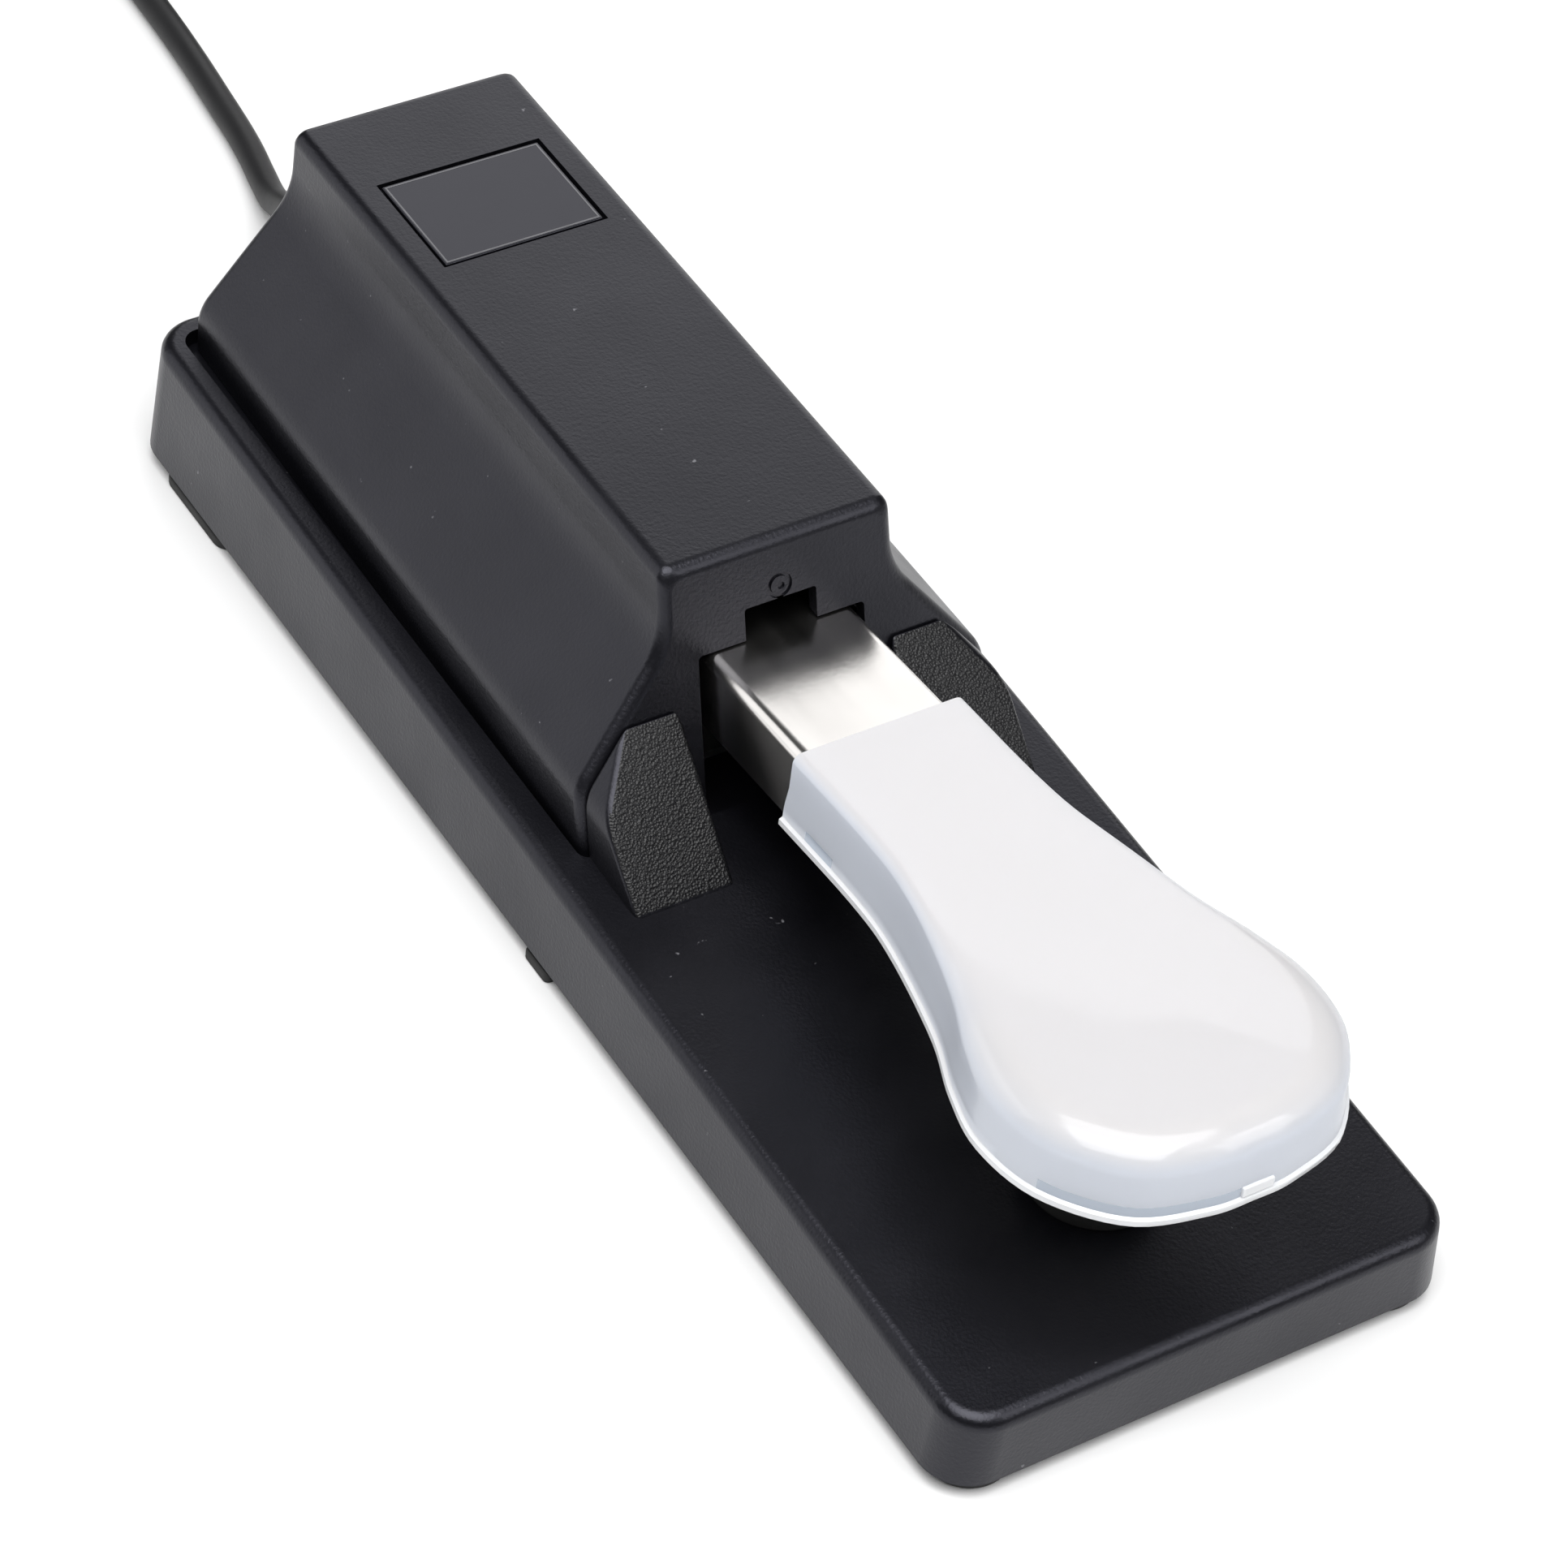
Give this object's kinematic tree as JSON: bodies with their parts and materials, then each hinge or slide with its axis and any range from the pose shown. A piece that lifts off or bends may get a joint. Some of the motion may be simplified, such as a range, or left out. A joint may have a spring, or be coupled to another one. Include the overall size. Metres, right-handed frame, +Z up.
{
  "type": "sustain pedal",
  "caption": "Piano-style sustain foot pedal: wedge base, humped rear housing, sprung steel lever with a plastic toe cap, and a cord ending in a jack plug.",
  "frame": {"origin": "centre of the bounding box's bottom face, on the floor under the feet, without the cord and what is on it", "axes": "+Y from the toe towards the heel and the cord, +Z up, +X to the right seen from the toe"},
  "size_m": [0.1239, 0.42, 0.0598],
  "materials": {
    "black_abs": "fine grain, semi-gloss",
    "nickel": "bright nickel plate",
    "cap_plastic": "milky translucent",
    "zinc_steel": "zinc plated",
    "rubber": "matt",
    "gloss_black": "polished",
    "nylon": "satin",
    "circuit_board": "phenolic board",
    "switch_plastic": "moulded",
    "cord_vinyl": "matt vinyl",
    "lead_vinyl": "vinyl"
  },
  "bodies": {
    "frame": {"base_shell": "black_abs", "bottom_plate": "zinc_steel", "foot_toe_left": "rubber", "foot_middle_left": "rubber", "foot_heel_left": "rubber", "foot_toe_right": "rubber", "foot_middle_right": "rubber", "foot_heel_right": "rubber", "housing_cover": "black_abs", "badge_plate": "gloss_black", "toe_bumper": "rubber", "chassis": "zinc_steel", "pivot_pin": "zinc_steel", "pin_clip_left": "zinc_steel", "pin_clip_right": "zinc_steel", "spring_seat": "nylon", "return_spring": "zinc_steel", "rest_pad": "rubber", "circuit_board": "circuit_board", "switch_body": "switch_plastic", "board_screw_left": "zinc_steel", "board_screw_right": "zinc_steel", "polarity_switch": "zinc_steel", "housing_screw_toe_left": "zinc_steel", "housing_screw_toe_right": "zinc_steel", "housing_screw_heel_left": "zinc_steel", "housing_screw_heel_right": "zinc_steel", "plate_screw_toe_left": "zinc_steel", "plate_screw_toe_right": "zinc_steel", "plate_screw_heel_left": "zinc_steel", "plate_screw_heel_right": "zinc_steel", "strain_relief": "rubber", "cord_clamp": "nylon", "clamp_screw_left": "zinc_steel", "clamp_screw_right": "zinc_steel", "lead_left": "lead_vinyl", "lead_right": "lead_vinyl", "cord": "cord_vinyl", "cord_coil": "cord_vinyl", "cord_end": "cord_vinyl", "cord_tie": "rubber", "plug_boot": "cord_vinyl", "plug_barrel": "nickel", "plug_sleeve": "nickel", "plug_insulator": "rubber", "plug_tip": "nickel"},
    "pedal": {"lever": "nickel", "pedal_cap": "cap_plastic", "pivot_bush_left": "nylon", "pivot_bush_right": "nylon"},
    "plunger": {"switch_plunger": "nylon"},
    "polarity": {"polarity_knob": "rubber"}
  },
  "joints": [
    {"name": "pedal_hinge", "type": "hinge", "parent": "frame", "child": "pedal", "pos_m": [0, 0.078, 0.0315], "axis": [1, 0, 0], "range_deg": [0, 7], "stiffness_Nm_per_rad": 8, "springref_deg": -4.58, "deforming": ["return_spring"]},
    {"name": "plunger_slide", "type": "slide", "parent": "frame", "child": "plunger", "axis": [0, 0, -1], "range_m": [0, 0.00225], "stiffness_N_per_m": 150},
    {"name": "polarity_slide", "type": "slide", "parent": "frame", "child": "polarity", "axis": [0, 1, 0], "range_m": [0, 0.003]}
  ],
  "couplings": [
    {"joint": "plunger_slide", "follows": "pedal_hinge", "m_per_rad": 0.018}
  ]
}
